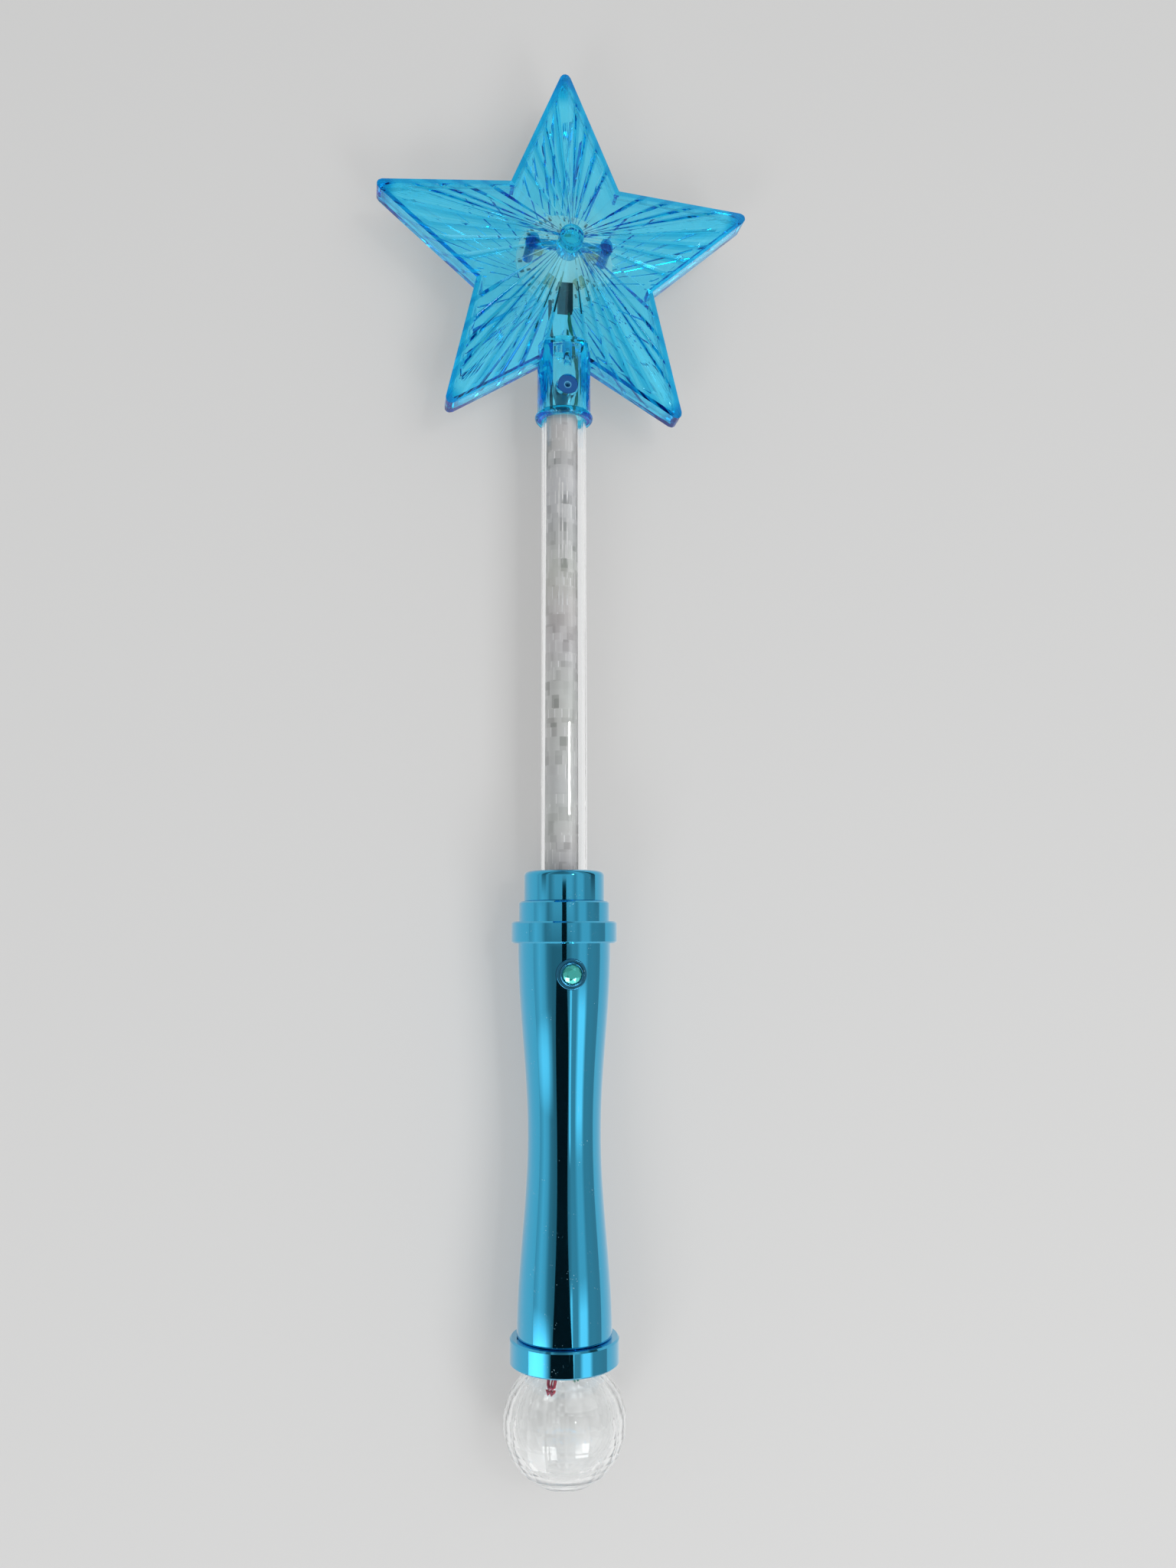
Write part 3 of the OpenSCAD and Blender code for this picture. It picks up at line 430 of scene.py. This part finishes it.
def star_board_coat():
    """White board printed with rings of short dashes. Its faint glow is painted light, for the light that the shells
    scatter.
    """
    paint = Finish("board_white")
    x, y, _ = paint.axes(STAR)
    ring = x.hypot(y) / (2.3 * MM)
    step = x.maths("ARCTAN2", y) * (26 / math.pi)
    dash = (step % 1.0 < 0.5) * (ring % 1.0 < 0.6) * (paint.chance(step, ring) > 0.68) * (ring > 4)
    weave = paint.noise(1800, 2, 0.6)
    base = paint.tint(weave, (0.97, 0.98, 0.97), (0.90, 0.92, 0.91))
    printed = paint.tint(dash * 0.85, base, (0.03, 0.04, 0.04))
    # Painted light: the board's emission
    return paint.surface(
        base_color=printed, emission_color=printed, emission_strength=0.15,
        roughness=paint.fade(weave, 0.3, 0.7, 0.42, 0.6), normal=paint.bump(weave, 0.03 * MM, 0.4),
        alpha=paint.fade(weave, 0.3, 0.7, 0.78, 0.88))


def control_board_coat():
    """Green board with tracks and tinned pads."""
    paint = Finish("board_green")
    x, _, _ = paint.axes(middle("control_board"))
    weave = paint.noise(1800, 2, 0.6)
    lines = (x / (2.6 * MM) + paint.noise(120) * 1.2) % 1.0 < 0.1
    tracks = lines * paint.fade(paint.noise(90, 1), 0.52, 0.56)
    pads = paint.specks(330, 0.22)
    base = paint.tint(weave, (0.03, 0.22, 0.09), (0.026, 0.19, 0.077))
    tracked = paint.tint(tracks * 0.7, base, (0.02, 0.12, 0.06))
    return paint.surface(
        base_color=paint.tint(pads * 0.8, tracked, (0.62, 0.60, 0.55)), metallic=pads * 0.7,
        roughness=paint.fade(weave, 0.3, 0.7, 0.42, 0.6), normal=paint.bump(weave, 0.03 * MM, 0.4))


def moulded(name, colour, shine, gloss=0.5):
    """Plain moulded plastic with a fine grain and paler patches."""
    paint = Finish(name)
    grain = paint.noise(1600, 3, 0.6)
    patch = paint.fade(paint.noise(130, 2), 0.3, 0.7)
    paler = tuple(min(1, 1.25 * part + 0.01) for part in colour)
    return paint.surface(
        base_color=paint.tint(patch, colour, paler), roughness=paint.fade(grain, 0.3, 0.7, shine, shine + 0.15),
        normal=paint.bump(grain, 0.05 * MM, 0.35), specular_ior_level=gloss)


def steel(name, colour, rough):
    """Nickel-plated steel with rubbed lines and a few dull stains."""
    paint = Finish(name)
    lines = paint.noise(700, 3, 0.6, paint.stretched(1, 0.15, 1))
    stain = paint.fade(paint.noise(150, 3, 0.6), 0.55, 0.7)
    return paint.surface(
        base_color=paint.tint(stain * 0.5, colour, tuple(0.6 * part for part in colour)), metallic=1.0,
        roughness=paint.fade(lines, 0.3, 0.7, rough, rough + 0.15) + stain * 0.1,
        normal=paint.bump(lines, 0.02 * MM, 0.4))


def lamp_lens(name, colour):
    """Cast lamp body, cloudy inside."""
    paint = Finish(name)
    cloud = paint.noise(700, 3, 0.6)
    return paint.surface(
        base_color=paint.tint(paint.fade(cloud, 0.3, 0.7), colour, tuple(0.85 * part for part in colour)),
        roughness=paint.fade(cloud, 0.3, 0.7, 0.08, 0.2), transmission_weight=0.6, ior=1.5)


FINISHES = {
    "tinted_clear": tinted_plastic(),
    "tinted_pin": pin_plastic(),
    "clear_tube": clear_tube(),
    "clear_ball": clear_ball(),
    "laser_film": laser_film(),
    "plated_blue": plated_blue("plated_blue", (0.035, 0.42, 0.68)),
    # The button cap takes a darker copy of the lacquer: painted shade for the dark reflections on it
    "plated_button": plated_blue("plated_button", (0.010, 0.18, 0.33)),
    "teal_stone": teal_stone(),
    "board_white": star_board_coat(),
    "board_green": control_board_coat(),
    "lamp_white": lamp_lens("lamp_white", (0.92, 0.90, 0.70)),
    "lamp_clear": lamp_lens("lamp_clear", (0.93, 0.95, 0.97)),
    "black_plastic": moulded("black_plastic", (0.003, 0.003, 0.004), 0.5, 0.15),
    "white_plastic": moulded("white_plastic", (0.78, 0.78, 0.76), 0.4),
    "lead_black": moulded("lead_black", (0.015, 0.015, 0.016), 0.3),
    "lead_green": moulded("lead_green", (0.02, 0.24, 0.11), 0.3),
    "lead_red": moulded("lead_red", (0.55, 0.03, 0.05), 0.3),
    "cell_steel": steel("cell_steel", (0.70, 0.70, 0.69), 0.2),
    "contact_steel": steel("contact_steel", (0.66, 0.65, 0.62), 0.25),
    "screw_steel": steel("screw_steel", (0.60, 0.60, 0.60), 0.25),
}


# Pieces

def place(node, shape, slot, crease):
    """Makes a piece of a bmesh that stands for a solid, finishes it and lets it ride on the solid's body."""
    for face in shape.faces:
        face.smooth = True
    name = node + "_looks"
    mesh = bpy.data.meshes.new(name)
    shape.to_mesh(mesh)
    shape.free()
    mesh.set_sharp_from_angle(angle=math.radians(crease))
    mesh.materials.append(FINISHES[slot])
    piece = bpy.data.objects.new(name, mesh)
    scene.collection.objects.link(piece)
    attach(piece, BODY_OF[node])
    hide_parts(node)
    return piece


def joined(node, flat=0.2):
    """A solid's own shape with its triangles joined up, into larger faces where they lie flat within an angle."""
    shape = bmesh.new()
    shape.from_mesh(frame["nodes"][node].data)
    bmesh.ops.remove_doubles(shape, verts=shape.verts[:], dist=2e-6)
    if flat:
        bmesh.ops.dissolve_limit(shape, angle_limit=math.radians(flat), verts=shape.verts[:], edges=shape.edges[:])
    return shape


def dressed(node, slot, crease=30, flat=0.2):
    """A solid's own shape, smooth where it is round."""
    return place(node, joined(node, flat), slot, crease)


def fair_normals(piece):
    """Evens the shading: the grip takes the normals of its true curve, and elsewhere the larger faces lead."""
    on_curve, along_curve, same_side = 0.06 * MM, 0.97, 0.8
    mesh = piece.data
    faces_at = {}
    for face in mesh.polygons:
        for vert in face.vertices:
            faces_at.setdefault(vert, []).append(face)
    normals = [Vector()] * len(mesh.loops)
    swell = (GRIP_END - GRIP_WAIST) / 4
    for face in mesh.polygons:
        for corner, vert in zip(face.loop_indices, face.vertices):
            spot = mesh.vertices[vert].co
            out = Vector((spot.x, 0, spot.z - AXIS_Z))
            swing = math.tau * (spot.y - GRIP_LOW) / GRIP_LENGTH
            radius = (GRIP_END + GRIP_WAIST) / 4 + swell * math.cos(swing)
            slope = -swell * math.sin(swing) * math.tau / GRIP_LENGTH
            curve = (out.normalized() - Vector((0, slope, 0))).normalized()
            on_grip = abs(out.length - radius) < on_curve and 0 <= swing <= math.tau
            if on_grip and curve.dot(face.normal) > along_curve:
                normals[corner] = curve
            else:
                near = (other for other in faces_at[vert] if other.normal.dot(face.normal) > same_side)
                normals[corner] = sum((other.normal * other.area for other in near), Vector()).normalized()
    mesh.normals_split_custom_set(normals)


def eased(shape, edges, width):
    """Rounds edges off."""
    bmesh.ops.bevel(shape, geom=edges, offset=width, segments=3, profile=0.5, affect="EDGES", material=-1)


def plated(node, ease):
    """A plated piece with its round outer corners and the ring round the button eased."""
    shape = joined(node)

    def sharp(edge):
        return edge.is_convex and edge.calc_face_angle(0) > math.radians(60)

    def on_ring(vert):
        reach = math.hypot(vert.co.x - BUTTON.x, vert.co.y - BUTTON.y)
        return abs(reach - BUTTON_RING) < 0.05 * MM and vert.co.z > AXIS_Z

    eased(shape, [edge for edge in shape.edges if sharp(edge) and all(map(on_ring, edge.verts))], 0.25 * MM)
    rings = {}
    for edge in shape.edges:
        first, second = (vert.co for vert in edge.verts)
        reach, other_reach = (math.hypot(end.x, end.z - AXIS_Z) for end in (first, second))
        level = abs(first.y - second.y) < 0.01 * MM and abs(other_reach - reach) < 0.05 * MM
        if level and reach > PLATED_REACH and sharp(edge):
            rings.setdefault((round(first.y / MM, 1), round(reach / MM, 1)), []).append(edge)
    long_rings = [ring for ring in rings.values() if sum(edge.calc_length() for edge in ring) > SHORTEST_CORNER]
    eased(shape, [edge for ring in long_rings for edge in ring], ease)
    fair_normals(place(node, shape, "plated_blue", 30))


def star_shell(node, side):
    """A star shell, drawn back a hair from the joint so that light leaves one shell before it enters the other."""
    shape = joined(node, 0)
    edge = [vert for vert in shape.verts if abs(vert.co.z - AXIS_Z) < 0.01 * MM]
    bmesh.ops.translate(shape, verts=edge, vec=(0, 0, side * JOINT_GAP))
    place(node, shape, "tinted_clear", 6)


def cut_stone(node):
    """A brilliant-cut stone: girdle, crown and table rings pulled tight into one faceted body."""
    low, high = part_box(node)
    radius = (high.x - low.x) / 2
    depth = high.z - low.z
    seat = Matrix.Translation((*middle(node).xy, low.z))
    shape = bmesh.new()
    for share, rise, count, turn in ((1, 0, 16, 0), (1, 0.35, 16, 0), (0.78, 0.72, 8, 22.5), (0.5, 1, 8, 0)):
        bmesh.ops.create_circle(
            shape, segments=count, radius=share * radius,
            matrix=seat @ Matrix.Translation((0, 0, rise * depth)) @ Matrix.Rotation(math.radians(turn), 4, "Z"))
    bmesh.ops.convex_hull(shape, input=shape.verts[:])
    bmesh.ops.delete(shape, geom=[edge for edge in shape.edges if not edge.link_faces], context="EDGES")
    bmesh.ops.dissolve_limit(shape, angle_limit=math.radians(1), verts=shape.verts[:], edges=shape.edges[:])
    bmesh.ops.recalc_face_normals(shape, faces=shape.faces[:])
    place(node, shape, "teal_stone", 5)


def faceted_ball(node):
    """The ball, with flat facets outside and a smooth hollow inside."""
    mesh = dressed(node, "clear_ball", 1).data
    centre = Vector((0, BALL_Y, AXIS_Z))
    for edge in mesh.edges:
        if all((mesh.vertices[vert].co - centre).length < BALL_HOLLOW for vert in edge.vertices):
            edge.use_edge_sharp = False


def hanging_lead(node, slot):
    """A lead whose loop under the lamp's bush hangs lower into the ball, as far as the photo shows."""
    shape = joined(node, 0)
    bush_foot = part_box("lamp_bush")[0].y - 0.5 * MM
    for vert in shape.verts:
        if vert.co.y < bush_foot:
            vert.co.y = bush_foot + (vert.co.y - bush_foot) * LOOP_STRETCH
    place(node, shape, slot, 60)


star_shell("star_front_shell", 1)
star_shell("star_back_shell", -1)
dressed("neck_pin", "tinted_pin")
dressed("star_board", "board_white")
dressed("star_lamps_group", "lamp_white")
dressed("lead_connector", "black_plastic")
dressed("star_lead_black", "lead_black", crease=60, flat=0)
dressed("star_lead_green", "lead_green", crease=60, flat=0)
dressed("shaft_tube", "clear_tube", flat=0)
dressed("hologram_film", "laser_film", crease=40, flat=0)
plated("top_ferrule", 0.3 * MM)
plated("handle_front_shell", 0.7 * MM)
plated("handle_back_shell", 0.7 * MM)
plated("end_ring", 0.8 * MM)
dressed("button_cap", "plated_button", flat=0)
cut_stone("button_jewel")
dressed("switch_plunger", "black_plastic")
dressed("switch_body", "black_plastic")
dressed("control_board", "board_green")
dressed("tube_lamp", "lamp_clear")
dressed("battery_tray", "black_plastic")
dressed("button_cells", "cell_steel")
dressed("cell_plate", "contact_steel")
dressed("cell_leaf", "contact_steel")
dressed("battery_lead_red", "lead_red", crease=60, flat=0)
dressed("battery_lead_black", "lead_black", crease=60, flat=0)
fair_normals(dressed("battery_door", "plated_blue", flat=0))
dressed("door_screw", "screw_steel")
faceted_ball("prism_ball")
dressed("lamp_bush", "white_plastic")
dressed("ball_lamp", "lamp_clear")
hanging_lead("ball_lead_red", "lead_red")
hanging_lead("ball_lead_green", "lead_green")


# Floor, light and camera

def stage_sheet(name, width, length, where, material, flare=1):
    """A flat sheet that isn't part of the wand, wider or narrower at its lower end where asked."""
    shape = bmesh.new()
    bmesh.ops.create_grid(shape, x_segments=1, y_segments=1, size=0.5)
    bmesh.ops.scale(shape, vec=(flare, 1, 1), verts=[vert for vert in shape.verts if vert.co.y < 0])
    bmesh.ops.scale(shape, vec=(width, length, 1), verts=shape.verts)
    bmesh.ops.transform(shape, matrix=Matrix.Translation(where), verts=shape.verts)
    mesh = bpy.data.meshes.new(name)
    shape.to_mesh(mesh)
    shape.free()
    mesh.materials.append(material)
    sheet = bpy.data.objects.new(name, mesh)
    scene.collection.objects.link(sheet)
    return sheet


def floor_paper():
    """Pale paper, lifted a little where it is seen straight, through clear plastic or in gloss, so that shadows stay
    light."""
    paint = Finish("floor_paper")
    cloud = paint.noise(3, 2, 0.5)
    straight, through, gloss = paint.rays()
    paper = paint.node("ShaderNodeBsdfPrincipled", inputs={
        "Base Color": paint.tint(cloud, (0.64, 0.64, 0.64), (0.66, 0.66, 0.655)), "Roughness": 0.6,
        "Specular IOR Level": 0.25})
    glow = paint.node("ShaderNodeEmission", inputs={
        "Color": (1, 1, 0.995), "Strength": straight * 0.57 + through * 0.93 + gloss * 0.85})
    share = straight * 0.5 + through * 0.62 + gloss * 0.4
    return paint.shown(paint.node("ShaderNodeMixShader", inputs={0: share, 1: paper, 2: glow}))


def dark_cloth():
    """Black cloth with a faint weave."""
    paint = Finish("dark_cloth")
    weave = paint.noise(400, 2)
    return paint.surface(base_color=paint.tint(weave, (0.003, 0.003, 0.004), (0.007, 0.007, 0.008)), roughness=0.95)


def shade_card(name, width, length, where, flare=1):
    """A black card over the grip that shows only as a reflection."""
    card = stage_sheet(name, width, length, where, CLOTH, flare)
    for ray in ("camera", "diffuse", "shadow", "transmission"):
        setattr(card, "visible_" + ray, False)


CLOTH = dark_cloth()
FLOOR_SPAN = 30
FLOOR_GAP = 0.2 * MM
stage_sheet("floor", FLOOR_SPAN, FLOOR_SPAN, (0, 0, -FLOOR_GAP), floor_paper())
shade_card("collar_card", 0.08, 0.075, (-0.062, -0.067, 0.42))
shade_card("grip_card", 0.20, 0.40, (-0.115, -0.33, 0.42), flare=2.8)

# Brightness of the room's walls at angles round the wand, counted from straight up towards the right
WALLS = ((-100, 0.7), (-84, 0.8), (-73, 1.05), (-60, 0.85), (-50, 0.42), (-38, 0.30), (-12, 0.32), (4, 0.4),
         (12, 0.6), (56, 0.55), (66, 0.55), (80, 0.5), (90, 0.5), (100, 0.6))
WALLS_END = 100
BRIGHTEST = 2
EVEN_LIGHT = 0.78


def studio_room(world):
    """Even white light. Gloss shows a room instead: a dim ceiling with a thin bright slit, a window on the right
    that is brightest low down, a pale wall on the left, dim corners and two dark bars that only the collars show."""
    room = Nodes(world.node_tree)
    way = room.node("ShaderNodeTexCoord", out="Generated")
    across, along, up = room.outputs("ShaderNodeSeparateXYZ", None, {0: way})
    turned = across.maths("ARCTAN2", up) * (180 / math.pi)
    lean = along / across.hypot(up)
    stops = [((angle + WALLS_END) / (2 * WALLS_END), (level / BRIGHTEST,) * 3) for angle, level in WALLS]
    round_room = (turned + WALLS_END) / (2 * WALLS_END)
    walls = room.node("ShaderNodeValToRGB", {"stops": stops}, {0: round_room}) * BRIGHTEST
    bars = room.band(turned, -69, 5, 11) + room.band(turned, 82, 6, 12)
    walls = walls * (1 - bars * room.fade(lean, 0.02, 0.05, 0, 0.75))
    window = room.band(turned, 38, 7, 15) * room.fade(lean, -0.12, -0.2, 0.35, 1.2)
    slit = room.band(turned, 8, 1.5, 3.5) * (
        room.fade(lean, -0.11, -0.16, 0, 1.1) + room.fade(lean, -0.27, -0.33, 0, 1.3))
    pale = room.band(turned, -70, 15, 30) * room.fade(lean, -0.2, -0.32, 0, 1.9)
    front = (room.band(turned, -15, 20, 35) * room.fade(lean, -0.02, 0.02, 0, 0.5)
             * room.fade(lean, 0.2, 0.3, 1, 0))
    ends = room.fade(lean, -0.5, -0.9, 0, 1.2)
    _, _, gloss = room.rays()
    level = EVEN_LIGHT + gloss * (walls + window + slit + pale + front + ends - EVEN_LIGHT)
    sky = room.node("ShaderNodeBackground", inputs={"Strength": level})
    output = room.tree.nodes.new("ShaderNodeOutputWorld")
    room.tree.links.new(sky.socket, output.inputs["Surface"])


scene.world = bpy.data.worlds.new("studio")
scene.world.use_nodes = True
studio_room(scene.world)


def soft_lamp(name, where, aim, width, length, power, gleams=False):
    """A panel lamp that faces a point, with its length along the wand. It shows in gloss only where it gleams."""
    data = bpy.data.lights.new(name, "AREA")
    data.shape = "RECTANGLE"
    data.size = width
    data.size_y = length
    data.energy = power
    lamp = bpy.data.objects.new(name, data)
    scene.collection.objects.link(lamp)
    lamp.visible_glossy = gleams
    back = (Vector(where) - Vector(aim)).normalized()
    along = (Vector((0, 1, 0)) - back * back.y).normalized()
    lamp.matrix_world = Matrix.Translation(where) @ Matrix((along.cross(back), along, back)).transposed().to_4x4()


soft_lamp("right_panel", (0.6, -0.1, 1.2), (0, 0, 0), 0.6, 1.6, 5)
soft_lamp("star_gleam", (0.35, 0.15, 1.2), (0, 0.15, 0), 0.12, 0.12, 0.9, gleams=True)
soft_lamp("ball_gleam_left", (-0.55, -1.0, 0.75), (0, -0.2, 0), 0.40, 0.40, 4, gleams=True)
soft_lamp("ball_gleam_right", (0.50, -0.9, 0.9), (0, -0.2, 0), 0.40, 0.40, 4, gleams=True)

# The photo's camera, worked out from points of the wand
camera_data = bpy.data.cameras.new("camera")
camera_data.sensor_width = 36
camera_data.lens = 29.217
camera_data.clip_start = 0.01
camera = bpy.data.objects.new("camera", camera_data)
scene.collection.objects.link(camera)
turn = (Matrix.Rotation(math.radians(-10.041), 4, "Y") @ Matrix.Rotation(math.radians(6.623), 4, "X")
        @ Matrix.Rotation(math.radians(-0.163), 4, "Z"))
camera.matrix_world = Matrix.Translation((-61.93 * MM, -60.49 * MM, 410.92 * MM)) @ turn
scene.camera = camera
